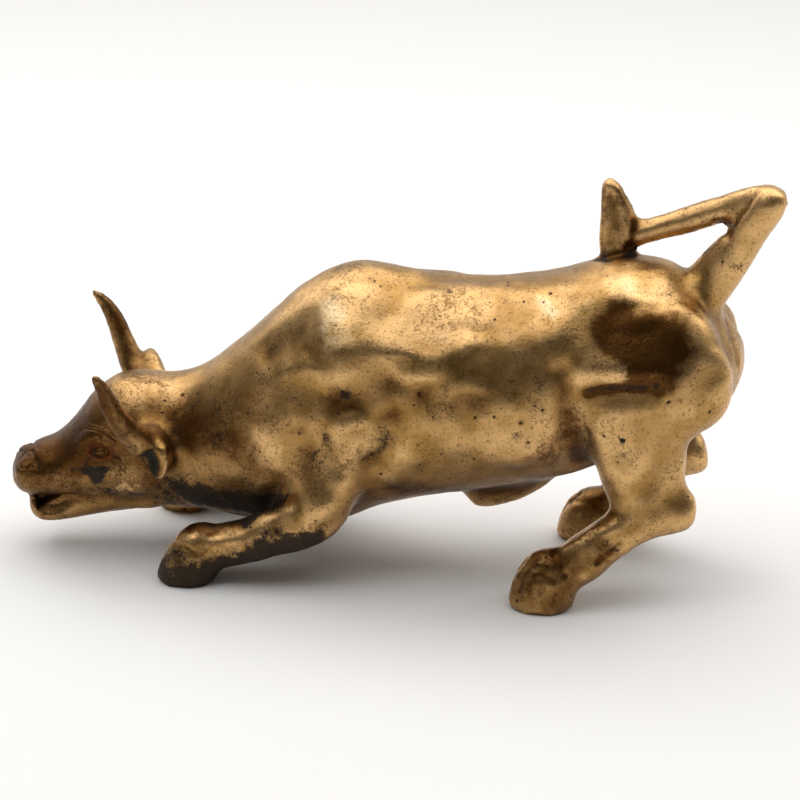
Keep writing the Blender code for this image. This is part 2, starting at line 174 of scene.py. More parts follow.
def on_skin(tree, place, way):
    """The place on the skin that is met when looking along way from outside."""
    way = Vector(way).normalized()
    start = Vector(place) - SEARCH_START * way
    hit = tree.ray_cast(start * MM + BULL_ZERO, way)[0]
    return Vector(place) if hit is None else (hit - BULL_ZERO) / MM


def distance_to_line(points, line):
    """How far each point is from a line through the given places, or from one place."""
    line = np.array([tuple(place) for place in line], float)
    if len(line) == 1:
        return np.linalg.norm(points - line[0], axis=1)
    nearest = np.full(len(points), np.inf)
    for start, end in zip(line[:-1], line[1:]):
        span = end - start
        share = np.clip((points - start) @ span / max(span @ span, 1e-9), 0.0, 1.0)
        away = np.linalg.norm(points - start - share[:, None] * span, axis=1)
        nearest = np.minimum(nearest, away)
    return nearest


def falloff(distance, reach):
    """1 at no distance, falling softly to 0 at reach."""
    return np.clip(1.0 - (distance / reach) ** 2, 0.0, 1.0) ** 2


def arc(centre, half_widths, start, end, tilt=0.0, steps=14):
    """Places along an ellipse, as (first, second) pairs; angles in degrees."""
    made = []
    cos, sin = math.cos(math.radians(tilt)), math.sin(math.radians(tilt))
    for i in range(steps + 1):
        angle = math.radians(start + (end - start) * i / steps)
        a = half_widths[0] * math.cos(angle)
        b = half_widths[1] * math.sin(angle)
        made.append((centre[0] + a * cos - b * sin, centre[1] + a * sin + b * cos))
    return made


# Body strokes, seen from the side: (line of (x, z), reach, rise). The left side has
# those of the real bull, and the right side the same ones a little softer.
BODY_STROKES = [
    # shoulder: the raised plane, its lower edge, and the dents before and below it
    ([(-22, 104), (-12, 102)], 20, 2.5),
    ([(2, 107), (16, 105), (30, 104)], 16, 1.2),
    ([(-50, 98), (-43, 103), (-34, 104)], 11, -1.2),
    ([(-28, 103), (-27, 96), (-30, 90)], 9, -0.6),
    ([(-30, 82), (-14, 86), (2, 89), (14, 89)], 12, -0.8),
    ([(16, 97), (26, 95)], 9, 0.5),
    ([(-24, 72), (-20, 66)], 8, -0.8),
    ([(-32, 62), (-29, 52)], 8, -1.0),
    ([(-8, 64), (-5, 56), (-7, 49)], 7, -0.9),
    ([(2, 72), (8, 60), (6, 50)], 9, 0.8),
    ([(-14, 64), (-18, 52)], 8, 0.8),
    ([(-58, 80), (-62, 66)], 10, -0.7),
    ([(-50, 68), (-46, 56)], 9, 0.7),
    ([(-76, 62), (-70, 50)], 10, 0.5),
    # ribs and flank
    ([(32, 86), (44, 84), (58, 86)], 10, -0.6),
    ([(30, 70), (44, 66), (58, 68)], 13, 0.6),
    ([(71, 102), (73, 88), (75, 74), (78, 60)], 7, -1.2),
    ([(64, 94), (65, 78)], 9, 0.5),
    # the dents of the back and the hip
    ([(50, 112), (60, 114)], 12, 0.6),
    ([(78, 120), (90, 124)], 11, -0.6),
    ([(34, 116), (40, 110)], 8, -0.5),
    # haunch: the flat plane, the fold below it and the bulge above that
    ([(90, 112), (102, 114), (114, 112)], 14, -1.0),
    ([(80, 102), (86, 106), (93, 107)], 8, 0.8),
    ([(82, 95), (90, 98), (100, 100), (110, 99)], 4.0, -0.35),
    ([(86, 87), (98, 85), (110, 87)], 12, 0.4),
    ([(118, 104), (120, 92)], 9, 0.7),
    ([(98, 74)], 8, -0.7),
    # gaskin, hock and cannon
    ([(92, 62), (98, 52)], 9, 0.6),
    ([(118, 52), (124, 46)], 7, -0.7),
    ([(126, 44)], 7, 0.8),
    ([(90, 32), (97, 36), (104, 40)], 4.5, -0.8),
    ([(82, 30), (88, 35), (94, 40)], 5.0, 0.6),
    # foreleg
    ([(-36, 33), (-44, 29)], 6, -0.7),
    ([(-24, 40), (-30, 34)], 7, 0.7),
    ([(-62, 24), (-70, 21)], 5, 0.5),
    ([(-68, 14), (-74, 11)], 4.5, -0.7),
]
RIGHT_SOFTER = 0.8

# Filed planes of the left side: (middle, the way it faces, reach, how flat it gets). The
# right side has them too.
FACETS = [
    # the shoulder's, which faces the head, and the broad one behind it
    ((-20, -27, 113), (-0.22, -0.66, 0.72), 16, 0.35),
    ((14, -27, 113), (0.02, -0.70, 0.71), 22, 0.85),
    ((38, -33, 104), (0.05, -0.90, 0.43), 13, 0.7),
    # the upper arm's and the ribs'
    ((-36, -38, 84), (-0.30, -0.92, 0.25), 14, 0.7),
    ((-12, -39, 70), (0.10, -0.98, -0.10), 12, 0.6),
    ((52, -38, 76), (0.05, -0.99, -0.14), 18, 0.6),
    # the haunch's brushed one, the rump's and the hip's
    ((104, -33, 116), (-0.02, -0.86, 0.50), 16, 0.85),
    ((127, -26, 103), (0.52, -0.83, 0.15), 13, 0.8),
    ((102, -17, 136), (0.12, -0.50, 0.86), 11, 0.7),
    ((98, -39, 76), (0.0, -1.0, 0.0), 15, 0.6),
]
FACET_MOST = 1.8

# The skin wanders all over, as hand-worked wax does: (size, height). The middle size
# makes soft facets that meet in creases, and the others are rounded.
WANDER = [(30.0, 0.55, False), (15.0, 0.62, True), (6.0, 0.10, False)]

# Strokes through places on the skin itself: (line of places, reach, rise).
PLACED_STROKES = [
    # tail: the rod that comes forward is tucked behind the one that goes up
    ([(133, -6, 154), (136, -6, 159), (138, -6, 163), (140, -7, 167), (144, -5, 172)], 2.8, -1.3),
    ([(134, -2, 155), (131, 2, 156)], 5.0, -1.6),
    # tuft: its ridge, the flat face before it and the crease behind it
    ([(85, 5, 169), (88, 5, 166), (91, 5, 161), (93, 4, 156), (93, 4, 150), (91, 4, 144)],
     2.4, 0.9),
    ([(85, 3, 164), (87, 3, 156), (86, 3, 148)], 5.0, -0.8),
    ([(96, 5, 154), (95, 4, 149), (93, 4, 143)], 2.4, -1.1),
    ([(81, 5, 139), (86, 2, 139), (92, 3, 139)], 2.6, -1.6),
    # near hind hoof: the claw's ridge and the cleft above it, and the tendon behind
    ([(65, -45, 22), (60, -47, 15), (60, -48, 9)], 2.6, 0.8),
    ([(70, -39, 26), (73, -44, 23), (76, -46, 18)], 2.4, -0.8),
    ([(89, -43, 24), (93, -42, 28), (98, -42, 32)], 2.6, -1.0),
    ([(75, -40, 27), (80, -40, 31), (86, -39, 36)], 2.6, 0.9),
    # scratched ridges of the hip, and the groove down the rump's edge
    ([(100, -20, 134), (106, -20, 132), (114, -21, 130)], 2.2, -0.5),
    ([(110, -18, 133), (120, -19, 129), (126, -22, 126)], 2.2, -0.5),
    ([(134, 3, 114), (138, -7, 110), (140, -11, 101)], 2.6, -0.7),
]

# Head strokes, in the head's frame: (line of (forward, height), reach, rise).
EYE = (26.2, 51.4)
EYE_TILT = -8.0
HEAD_STROKES = [
    # socket, the lids' ring, the groove inside it and the eyeball
    ([EYE], 7.0, -0.7),
    (arc(EYE, (5.0, 3.0), 0, 360, EYE_TILT), 1.0, 0.6),
    (arc(EYE, (3.6, 2.1), 0, 360, EYE_TILT), 0.8, -0.7),
    ([(27.3, 51.3), (25.1, 51.5)], 2.0, 1.1),
    # the fold over the upper lid, and the brow's incised arc with its lit edge
    (arc((26.0, 52.4), (6.8, 4.4), 15, 150, -6), 0.7, -0.25),
    (arc((26.4, 53.6), (8.8, 6.8), 30, 150, -4), 0.8, -0.5),
    (arc((26.4, 54.2), (9.2, 7.3), 30, 140, -4), 1.0, 0.3),
    # the eye's rear corner, drawn out
    ([(21.0, 50.6), (17.6, 50.0)], 0.8, -0.45),
    # cheek, jaw line and the crease behind the mouth
    ([(14, 41), (10, 35)], 9, 0.8),
    ([(33, 43), (38, 38)], 8, -0.8),
    ([(24, 30), (14, 25)], 5, -0.6),
    ([(40.5, 26.8), (37.5, 27.6)], 1.4, -0.8),
]

# The mouth's opening, as (forward, height): it is pressed in from both sides, this deep,
# with a slope this wide at its edge, and some metal is left in the middle.
MOUTH = [(41.4, 26.6), (48.0, 27.0), (55.4, 25.0), (53.9, 18.2), (47.2, 22.4)]
MOUTH_DEPTH = 3.0
MOUTH_SLOPE = 1.3
MOUTH_MIDDLE = 1.6

# The nostril: a boss with a dimple, ringed by a groove, and a comma-shaped cut behind it,
# each with its (reach, rise).
NOSTRIL = (58.8, 9.0, 42.6)
NOSTRIL_WAY = (0.5, 0.2)
NOSTRIL_BOSS = (5.0, 0.45)
NOSTRIL_DIMPLE = (2.0, -0.4)
NOSTRIL_RING = (1.0, -0.45)
NOSTRIL_RING_SIZE = (4.0, 3.6)
NOSTRIL_CUT = [(57.2, 8.0, 46.4), (55.6, 9.0, 45.6), (54.6, 9.6, 43.6)]
NOSTRIL_CUT_STROKE = (0.9, -0.7)

# Near ear: the cup's floor, and its rim from the top round the back to the lobe.
EAR_CUP = [(5.5, 36.0, 58.0), (4.6, 36.6, 53.5), (5.4, 35.6, 49.5)]
EAR_RIM = [
    (2.6, 34.6, 62.6),
    (-0.6, 37.0, 59.0),
    (-1.6, 38.0, 54.0),
    (0.0, 37.2, 48.6),
    (3.4, 34.6, 45.8),
]

# The middles of the left horn, from the root to near the tip; its outer face is flat.
HORN_LINE = [(8.5, 33.2, 62.2), (13.3, 37.4, 69.0), (17.4, 40.3, 76.1), (21.2, 41.6, 84.8)]
HORN_LINE += [(24.2, 42.3, 93.1)]

# The strokes of the ear and the horn, as (reach, rise).
EAR_CUP_STROKE = (4.2, -0.6)
EAR_RIM_STROKE = (1.7, 0.45)
HORN_STROKE = (3.4, -0.8)

# A flaw of the casting on the left cheek: a small sunk place with a raised, bright edge.
FLAW = [(-116, -26, 33), (-113, -27, 36), (-111, -26, 34), (-108, -26, 36)]
FLAW_STROKES = [(2.2, 0.8), (1.0, -1.1)]

# Single blowholes of the casting: (place, reach, depth).
BLOWHOLES = [
    ((64, -15, 129), 1.2, 0.7),
    ((115, -39, 95), 1.1, 0.6),
    ((127, -36, 93), 0.9, 0.4),
    ((131, -33, 89), 0.9, 0.4),
    ((56, -40, 82), 1.0, 0.6),
    ((97, -40, 77), 1.5, 0.7),
    ((23, -37, 65), 0.8, 0.4),
    ((-91, -15, 74), 1.2, 0.6),
    ((36, 38, 84), 1.2, 0.6),
    ((-12, 37, 96), 1.0, 0.6),
    ((104, 37, 88), 1.3, 0.7),
    ((70, 12, 130), 1.0, 0.5),
]

# Hoof centres (x, y), and whether the hoof is a fore one.
HOOVES = [(-82.5, -38.9, True), (-100.0, 33.5, True), (66.5, -38.5, False), (79.0, 31.5, False)]

# The hoof's cleft: the heights that it passes, its top on a fore and on a hind hoof, and a
# wide stroke and a sharp one, as (reach, rise).
CLEFT_HEIGHTS = (1, 5, 9, 13)
FORE_CLEFT_TOP, HIND_CLEFT_TOP = 17.0, 19.0
CLEFT_STROKES = [(2.1, -1.5), (0.9, -0.8)]

# The hoof's coronet, as (along, height) from its middle, and its two dewclaws behind.
CORONET = ((-8, 16.5), (-3, 18.5), (3, 18.5), (8, 16.0))
CORONET_STROKE = (2.4, -0.35)
DEWCLAW = (10.0, 3.0, 17.0)
DEWCLAW_STROKE = (4.0, 0.9)

# Where each finish lies: (line of places, reach, amount, paired). The left side is the
# real bull's, and what is paired is repeated on the right.
BLACKENED_AND_SHADED = [
    # painted shade under the neck and throat, black underneath
    ([(-90, -22, 33), (-75, -25, 34), (-62, -27, 34), (-52, -28, 33), (-42, -30, 32)],
     12, 1.0, True),
    ([(-94, 0, 30), (-80, 0, 31), (-60, 0, 32), (-40, 0, 34)], 27, 1.3, False),
    ([(-86, -19, 30), (-69, -22, 28), (-54, -23, 28), (-42, -26, 30)], 9, 1.2, True),
    ([(-70, -35, 27), (-60, -36, 30), (-50, -35, 33), (-42, -36, 36)], 8, 1.25, True),
    ([(-90, -24, 42), (-72, -29, 43), (-52, -32, 43)], 8, 0.5, True),
    # the near foreleg's lower half and its hoof
    ([(-88, -44, 4), (-77, -45, 5), (-70, -42, 5)], 17, 1.3, True),
    ([(-74, -46, 9), (-63, -45, 11), (-52, -45, 15), (-41, -44, 20), (-30, -43, 25)],
     11, 1.2, True),
    ([(-46, -46, 28), (-39, -46, 29)], 6, 0.8, False),
    ([(-52, -39, 30), (-60, -40, 28)], 4, 0.6, True),
    # neck, cheek and jaw
    ([(-75, -23, 75), (-74, -27, 69), (-73, -29, 61)], 6, 0.55, False),
    ([(-84, -22, 72), (-91, -20, 67), (-88, -24, 60)], 9, 0.5, False),
    ([(-131, -27, 42), (-127, -26, 39)], 7, 1.15, False),
    ([(-122, -25, 36), (-119, -23, 30)], 6.5, 0.95, False),
    ([(-142, -26, 44), (-134, -25, 48)], 7, 0.55, True),
    ([(-101, -24, 44), (-104, -23, 36), (-110, -24, 30)], 7, 0.7, True),
    ([(-112, -25, 30), (-116, -26, 39)], 5, 0.5, False),
    ([(-150, -14, 46), (-134, -18, 50), (-116, -18, 46)], 26, 0.36, True),
    # blotches of the shoulder and the ribs
    ([(-15, -36, 87)], 6, 0.6, False),
    ([(-25, -39, 68), (-20, -40, 73)], 7, 0.5, False),
    ([(-30, -39, 60), (-27, -40, 56)], 7, 0.55, False),
    ([(3, -37, 76), (2, -37, 71), (-5, -37, 66)], 6, 0.5, False),
    ([(-1, -6, 130)], 4, 0.6, True),
    ([(11, -20, 122)], 3.5, 0.6, False),
    ([(-2, -27, 115)], 3, 0.6, False),
    ([(16, -30, 111)], 2.6, 0.6, False),
    ([(33, -37, 65), (39, -36, 61)], 6, 0.5, True),
    ([(60, -38, 94), (67, -37, 92)], 5, 0.5, False),
    ([(57, -39, 77), (60, -39, 73)], 4.5, 0.5, True),
    ([(-56, -28, 92), (-62, -24, 96)], 6, 0.5, True),
    # the flank's chain of pits, and the specks of the thigh
    ([(78, -35, 88), (80, -35, 80), (83, -31, 69)], 4.0, 0.55, False),
    ([(85, -36, 71), (93, -40, 72), (99, -40, 69)], 5.5, 0.5, True),
    ([(107, -39, 93), (108, -39, 78), (109, -38, 64)], 2.2, 0.45, False),
    ([(93, -42, 29), (97, -42, 32)], 3.4, 0.55, True),
    ([(70, -39, 25), (73, -44, 22), (76, -46, 18)], 3.5, 0.45, True),
    # the root of the tail, its bend and the root of the tuft
    ([(120, 1, 147), (128, -5, 146), (136, -9, 142)], 6, 0.68, False),
    ([(144, -8, 160), (148, -8, 165)], 5, 0.5, False),
    ([(134, -4, 155), (138, -6, 163)], 2.5, 0.6, False),
    ([(81, 3, 138), (89, 0, 138), (95, 5, 138)], 3.6, 1.3, False),
    # painted shade between the hind legs
    ([(95, 0, 55), (105, 0, 60)], 24, 0.8, False),
]

BROWNED_AND_SHADED = [
    # the whole head, with the horns, and the neck
    ([(-150, -12, 42), (-132, -12, 50), (-112, -10, 50)], 36, 1.3, False),
    ([(-155, -14, 38), (-130, -14, 42), (-106, -12, 50)], 50, 0.8, False),
    ([(-150, -22, 48), (-140, -24, 50), (-130, -22, 56)], 10, 1.4, True),
    ([(-108, -52, 70), (-116, -55, 90)], 20, 0.9, False),
    ([(-124, 22, 74), (-132, 30, 96)], 18, 0.9, False),
    ([(-92, -18, 66), (-78, -24, 62), (-60, -32, 54)], 22, 0.9, True),
    ([(-66, -28, 80), (-50, -34, 72)], 14, 0.5, True),
    # shoulder: darker in its hollow; below it, a painted dark reflection along the ribs, and the
    # upper arm darker
    ([(-50, -21, 100), (-44, -21, 106), (-36, -23, 107)], 8, 0.45, True),
    ([(-25, -30, 107), (-25, -33, 100)], 5, 0.4, True),
    ([(-34, -38, 78), (-14, -38, 84), (8, -37, 86), (34, -37, 90), (60, -37, 94)], 13, 0.55, True),
    ([(-34, -40, 52), (-28, -40, 66)], 10, 0.5, True),
    # haunch: its brushed plane, with brown tarnish and a painted dark reflection, and the fold
    ([(92, -28, 124), (95, -30, 118), (105, -31, 119), (115, -32, 118)], 13.5, 1.7, True),
    ([(98, -34, 112), (112, -35, 110), (115, -37, 104)], 9, 1.2, True),
    ([(102, -38, 105), (113, -38, 102)], 7, 1.15, True),
    ([(72, -35, 99), (74, -35, 86), (76, -34, 76)], 6, 0.35, True),
    ([(83, -22, 131), (84, -28, 123)], 6, 0.45, True),
    # belly, browned as painted shade underneath, and the legs and hooves
    ([(5, -26, 42), (25, -22, 40), (44, -7, 36), (62, -21, 49)], 16, 0.9, True),
    ([(-84, -42, 26), (-72, -41, 27), (-60, -40, 29)], 9, 1.1, True),
    ([(-28, -41, 34), (-24, -40, 44)], 10, 0.6, True),
    ([(70, -44, 22), (60, -46, 10)], 12, 0.95, True),
    ([(74, -46, 6), (82, -42, 22), (92, -42, 30)], 11, 0.8, True),
    ([(98, -40, 40), (112, -38, 46)], 12, 0.5, True),
    ([(82, 33, 10), (84, 31, 22)], 24, 0.9, False),
    ([(111, -39, 52), (121, -37, 47)], 9, 0.4, True),
    ([(128, -26, 112), (132, -20, 120)], 10, 0.4, True),
    # tuft and tail
    ([(88, 8, 142), (88, 8, 165)], 12, 0.75, False),
    ([(100, 6, 150), (128, 4, 162)], 7, 0.45, False),
]

RUBBED = [
    ([(-84, -45, 20), (-75, -46, 20), (-64, -46, 22), (-56, -46, 23)], 4, 0.8, True),
    ([(-69, -31, 52), (-66, -31, 48), (-60, -33, 50)], 6, 0.7, False),
    ([(-55, -34, 64), (-50, -36, 59)], 8, 0.8, True),
    ([(-146, -26, 34), (-141, -27, 37), (-134, -27, 38)], 4.5, 1.0, False),
    ([(-122, -27, 44), (-115, -28, 41)], 6, 0.9, True),
    ([(-150, -24, 29), (-140, -24, 29), (-128, -24, 30)], 4, 0.7, True),
    ([(-110, -14, 72), (-102, -8, 76), (-96, -12, 74)], 11, 1.0, True),
    ([(-45, -18, 112), (-30, -20, 118), (-15, -22, 122)], 15, 0.8, True),
    ([(0, -29, 113), (15, -26, 116), (30, -20, 121)], 15, 0.9, True),
    ([(62, -20, 124), (67, -20, 125)], 9, 0.8, True),
    ([(92, -18, 136), (112, -20, 132)], 9, 0.9, True),
    ([(80, -35, 102), (86, -36, 106), (94, -38, 106)], 5, 1.3, True),
    ([(124, -26, 106), (126, -26, 96)], 10, 0.5, True),
    ([(50, -38, 74), (66, -38, 70)], 12, 0.6, True),
    ([(92, -40, 80), (100, -40, 66)], 12, 0.6, True),
    ([(-8, -38, 62), (-16, -38, 58)], 8, 0.6, True),
    ([(65, -45, 22), (60, -47, 15)], 3, 0.6, True),
    ([(72, -40, 29), (80, -40, 31), (86, -39, 36)], 3, 0.9, True),
    ([(120, 2, 170), (146, -4, 173)], 7, 0.6, False),
    ([(85, 5, 169), (91, 5, 161), (93, 4, 150)], 3, 0.6, False),
]

# Painted highlights: a pale, whitish colour on the shoulder, the back, the hip and the poll, where
# the softboxes' highlights fall, to whiten them.
PAINTED_HIGHLIGHTS = [
    ([(-24, -22, 121), (-26, -25, 114), (-20, -28, 109)], 11, 1.0, True),
    ([(23, -27, 115), (26, -31, 109)], 6, 0.5, False),
    ([(61, -20, 125), (66, -21, 121)], 6, 1.0, True),
    ([(94, -18, 136), (99, -19, 135)], 6, 0.7, False),
    ([(113, -20, 131)], 6, 0.5, True),
    ([(-106, -12, 74)], 6, 0.5, True),
]

REDDENED = [
    ([(56, -40, 82)], 2.6, 0.9, False),
    ([(-91, -15, 74)], 3.0, 0.9, False),
    ([(-92, -19, 72), (-84, -24, 66)], 8, 0.5, False),
    ([(64, -15, 129)], 2.6, 0.6, False),
    ([(-136, -24, 50), (-146, -20, 49)], 5, 0.5, True),
]

GREENED = [
    ([(97, -40, 77)], 2.6, 0.9, False),
    ([(-128, -26, 40), (-122, -25, 34)], 6, 0.5, False),
    ([(-50, -28, 34), (-42, -30, 34)], 6, 0.4, True),
]

BRUSHED = [
    ([(90, -30, 119), (104, -32, 118), (118, -32, 115)], 15, 1.0, True),
    ([(94, -36, 108), (112, -36, 108)], 9, 1.0, True),
]

# How far a mark's edge lies outside its reach.
MARK_SPREAD = 1.15

# The fold of the haunch, darker brown and black along it, whose edges aren't moved.
FOLD_MARKS = {
    "browned_and_shaded": [
        ([(82, -35, 95), (88, -36, 97.5), (98, -38, 100), (110, -38, 100.5)], 3.6, 1.25, True),
        ([(100, -38, 102), (113, -38, 103)], 5.0, 1.2, True),
    ],
    "blackened_and_shaded": [([(84, -35, 96.5), (92, -37, 99), (110, -38, 101)], 2.8, 0.62, True)],
}

# How far noise moves the edges of what is painted, in mm: (size of the noise, most). The
# shifts take the noise of each direction from another place.
RAGGED = [(12.0, 5.0), (4.0, 2.6)]
RAGGED_SHIFTS = [(0.0, 0.0, 0.0), (31.4, 7.7, 2.9), (5.3, 47.1, 13.6)]

# The red oxide round the eye lies in a ring: its half widths forward and up. Nothing
# nearer to the head's middle than this belongs to an eye.
EYE_RING = (5.4, 3.3)
EYE_OUT = 10.0

# The small features of the head, as (forward, side, height, reach) in the head's frame.
FINEST = [(26.2, 20, 53.0, 12.5), (57.0, 9, 43.0, 7.5), (3.0, 37, 54.0, 9.5), (48.0, 8, 23.5, 8.5)]
FLAW_REACH = 6.0
BLOWHOLE_MARGIN = 1.5

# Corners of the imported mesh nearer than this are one.
MERGE_DISTANCE = 0.00002

# How much horns, ears and face are smoothed, against 1 on the body.
HEAD_SMOOTHING = 0.6
FACE_BEGINS = -2.0

# The wandering of the skin fades out below this height, and is weaker on the head. The
# folded noise of the soft facets has about this much taken off, so that it adds no bulk.
CALM_BELOW = 12.0
HEAD_WANDER = 0.4
FOLDED_MEAN = 0.2


def split_where(mesh, chosen):
    """Splits the faces whose centre, in the bull's own frame, is chosen."""
    fine = [
        face for face in mesh.faces if chosen((face.calc_center_median() - BULL_ZERO) / MM)
    ]
    edges = list({edge for face in fine for edge in face.edges})
    bmesh.ops.subdivide_edges(mesh, edges=edges, cuts=1, use_grid_fill=True)


def finest_places():
    """The small features, as (place, reach), where the skin is finest."""
    made = [
        (head_place(forward, half * side, height), reach)
        for half in (LEFT, RIGHT)
        for forward, side, height, reach in FINEST
    ]
    made.append((Vector(FLAW[1]), FLAW_REACH))
    made += [(Vector(place), reach + BLOWHOLE_MARGIN) for place, reach, depth in BLOWHOLES]
    return made


def refined_copy(node, cell):
    """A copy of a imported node's mesh on an even grid, finer on the head and the hooves."""
    mesh = bmesh.new()
    mesh.from_mesh(node.data)
    bmesh.ops.remove_doubles(mesh, verts=mesh.verts, dist=MERGE_DISTANCE)
    made = bpy.data.meshes.new("skin")
    mesh.to_mesh(made)
    mesh.free()
    holder = bpy.data.objects.new("skin", made)
    bpy.context.scene.collection.objects.link(holder)
    remesh = holder.modifiers.new("even grid", "REMESH")
    remesh.mode = "VOXEL"
    remesh.voxel_size = cell
    graph = bpy.context.evaluated_depsgraph_get()
    even = bpy.data.meshes.new_from_object(holder.evaluated_get(graph))
    bpy.data.objects.remove(holder)
    mesh = bmesh.new()
    mesh.from_mesh(even)
    split_where(mesh, lambda place: place.x < HEAD_BEGINS or place.z < HOOF_TOP)
    finest = finest_places()
    split_where(
        mesh, lambda place: any((place - centre).length < reach for centre, reach in finest)
    )
    mesh.to_mesh(even)
    mesh.free()
    return even


def smoothing_share(points):
    """How much each point may be smoothed: all on the body, less on horns, ears and face."""
    forward = in_head(points)[0]
    return np.where(forward > FACE_BEGINS, HEAD_SMOOTHING, 1.0)


def seen_from_side(tree, x, z, half):
    """The place on the body's skin met from its left or right side."""
    return on_skin(tree, (x, 0.0, z), (0.0, half, 0.0))


def seen_on_head(tree, forward, height, half):
    """The place on the head's skin met from its left or right side."""
    way = -head_way(0, half, 0)
    return on_skin(tree, head_place(forward, 0.0, height), way)


def stroke(skin, normals, line, reach, rise, side=None):
    """Raises or presses the skin along a line, by reach and rise.

    Where a side is given, skin that faces 60 degrees or more away from it gets less, and
    what is turned away from it gets nothing.
    """
    share = falloff(distance_to_line(skin.points, line), reach)
    if side is not None:
        share *= np.clip(2.0 * (normals @ np.array(side)), 0.0, 1.0)
    skin.points += normals * (rise * share)[:, None]


def work_body(skin):
    tree = skin.tree()
    normals = skin.normals()
    for line, reach, rise in BODY_STROKES:
        for half in (LEFT, RIGHT):
            placed = [seen_from_side(tree, x, z, half) for x, z in line]
            softer = 1.0 if half == LEFT else RIGHT_SOFTER
            facing = (0.0, -half, 0.0)
            stroke(skin, normals, placed, reach, rise * softer, facing)


def flatten_facets(skin):
    """Files a plane on the skin at each facet, on both sides of the body.

    It is fully flat out to 0.6 of the facet's reach, and fades out from there.
    """
    for middle, way, reach, flat in FACETS:
        for half in (LEFT, RIGHT):
            mirror = np.array((1.0, half, 1.0))
            plane = np.array(way) * mirror / np.linalg.norm(way)
            off = skin.points - np.array(middle) * mirror
            start = off[np.argmin(np.linalg.norm(off, axis=1))] @ plane
            share = flat * np.clip(2.5 * (1.0 - np.linalg.norm(off, axis=1) / reach), 0.0, 1.0)
            move = np.clip((start - off @ plane) * share, -FACET_MOST, FACET_MOST)
            skin.points += plane * move[:, None]


def wander(skin):
    """Moves the skin in and out a little everywhere, less near the ground and on the head."""
    normals = skin.normals()
    forward = in_head(skin.points)[0]
    calm = np.clip(skin.points[:, 2] / CALM_BELOW, 0.0, 1.0)
    calm *= np.where(forward > 0.0, HEAD_WANDER, 1.0)
    for size, height, creased in WANDER:
        shift = Vector((size, 0.0, 3.0 * size))
        ups = np.array([noise.noise(Vector(place) / size + shift) for place in skin.points])
        if creased:
            ups = np.abs(ups) - FOLDED_MEAN
        skin.points += normals * (height * calm * ups)[:, None]


def inside_outline(across, up, outline):
    """How deep inside a convex outline each point lies, negative outside it."""
    depth = np.full(len(across), np.inf)
    area = 0.0
    for (a, b), (c, d) in zip(outline, outline[1:] + outline[:1]):
        area += a * d - c * b
    turn = 1.0 if area > 0 else -1.0
    for (a, b), (c, d) in zip(outline, outline[1:] + outline[:1]):
        length = math.hypot(c - a, d - b)
        depth = np.minimum(depth, turn * ((c - a) * (up - b) - (d - b) * (across - a)) / length)
    return depth


def mouth_share(points):
    """1 in the mouth's opening, falling to 0 at its edge."""
    forward, side, height = in_head(points)
    return np.clip(inside_outline(forward, height, MOUTH) / MOUTH_SLOPE, 0.0, 1.0)


def work_mouth(skin):
    """Presses the mouth's opening in from both sides."""
    side = in_head(skin.points)[1]
    share = mouth_share(skin.points)
    room = np.clip(np.abs(side) - MOUTH_MIDDLE, 0.0, None)
    depth = np.minimum(MOUTH_DEPTH * share, room)
    inward = np.array(head_way(0, -1, 0))
    skin.points += inward * (np.sign(side) * depth)[:, None]


def work_head(skin):
    tree = skin.tree()
    normals = skin.normals()
    for line, reach, rise in HEAD_STROKES:
        for half in (LEFT, RIGHT):
            placed = [seen_on_head(tree, forward, height, half) for forward, height in line]
            stroke(skin, normals, placed, reach, rise, head_way(0, half, 0))
    for half in (LEFT, RIGHT):
        out = head_way(NOSTRIL_WAY[0], half, NOSTRIL_WAY[1])
        boss = on_skin(tree, head_place(NOSTRIL[0], half * NOSTRIL[1], NOSTRIL[2]), -out)
        stroke(skin, normals, [boss], *NOSTRIL_BOSS)
        stroke(skin, normals, [boss], *NOSTRIL_DIMPLE)
        ring = [
            on_skin(tree, head_place(forward, half * NOSTRIL[1], height), -out)
            for forward, height in arc((NOSTRIL[0], NOSTRIL[2]), NOSTRIL_RING_SIZE, 0, 360)
        ]
        stroke(skin, normals, ring, *NOSTRIL_RING)
        cut = [
            on_skin(tree, head_place(forward, half * out_by, height), -out)
            for forward, out_by, height in NOSTRIL_CUT
        ]
        stroke(skin, normals, cut, *NOSTRIL_CUT_STROKE)
    for reach, rise in FLAW_STROKES:
        stroke(skin, normals, FLAW, reach, rise)


def work_ear_and_horn(skin):
    """The left ear's cup and rim, and the flat face of the left horn."""
    tree = skin.tree()
    normals = skin.normals()
    cup = [head_place(*place) for place in EAR_CUP]
    stroke(skin, normals, cup, *EAR_CUP_STROKE, head_way(0.8, 0.6, 0.0))
    rim = [head_place(*place) for place in EAR_RIM]
    stroke(skin, normals, rim, *EAR_RIM_STROKE)
    out = head_way(0.45, 0.9, 0.0)
    face = [on_skin(tree, head_place(*place), -out) for place in HORN_LINE]
    stroke(skin, normals, face, *HORN_STROKE, out)


def work_hooves(skin):
    """The cleft up the front of each hoof and over the sole's edge, its coronet and dewclaws."""
    tree = skin.tree()
    normals = skin.normals()
    for x, y, fore in HOOVES:
        heights = (*CLEFT_HEIGHTS, FORE_CLEFT_TOP if fore else HIND_CLEFT_TOP)
        cleft = [on_skin(tree, (x, y, z), (1.0, 0.0, -0.15)) for z in heights]
        for reach, rise in CLEFT_STROKES:
            stroke(skin, normals, cleft, reach, rise)
        behind, out, up = DEWCLAW
        for side in (-1, 1):
            coronet = [
                on_skin(tree, (x + along, y, z), (0.35, -side, 0.0)) for along, z in CORONET
            ]
            stroke(skin, normals, coronet, *CORONET_STROKE)
            dew = on_skin(tree, (x + behind, y + side * out, up), (-1.0, -0.4 * side, 0.0))
            stroke(skin, normals, [dew], *DEWCLAW_STROKE)


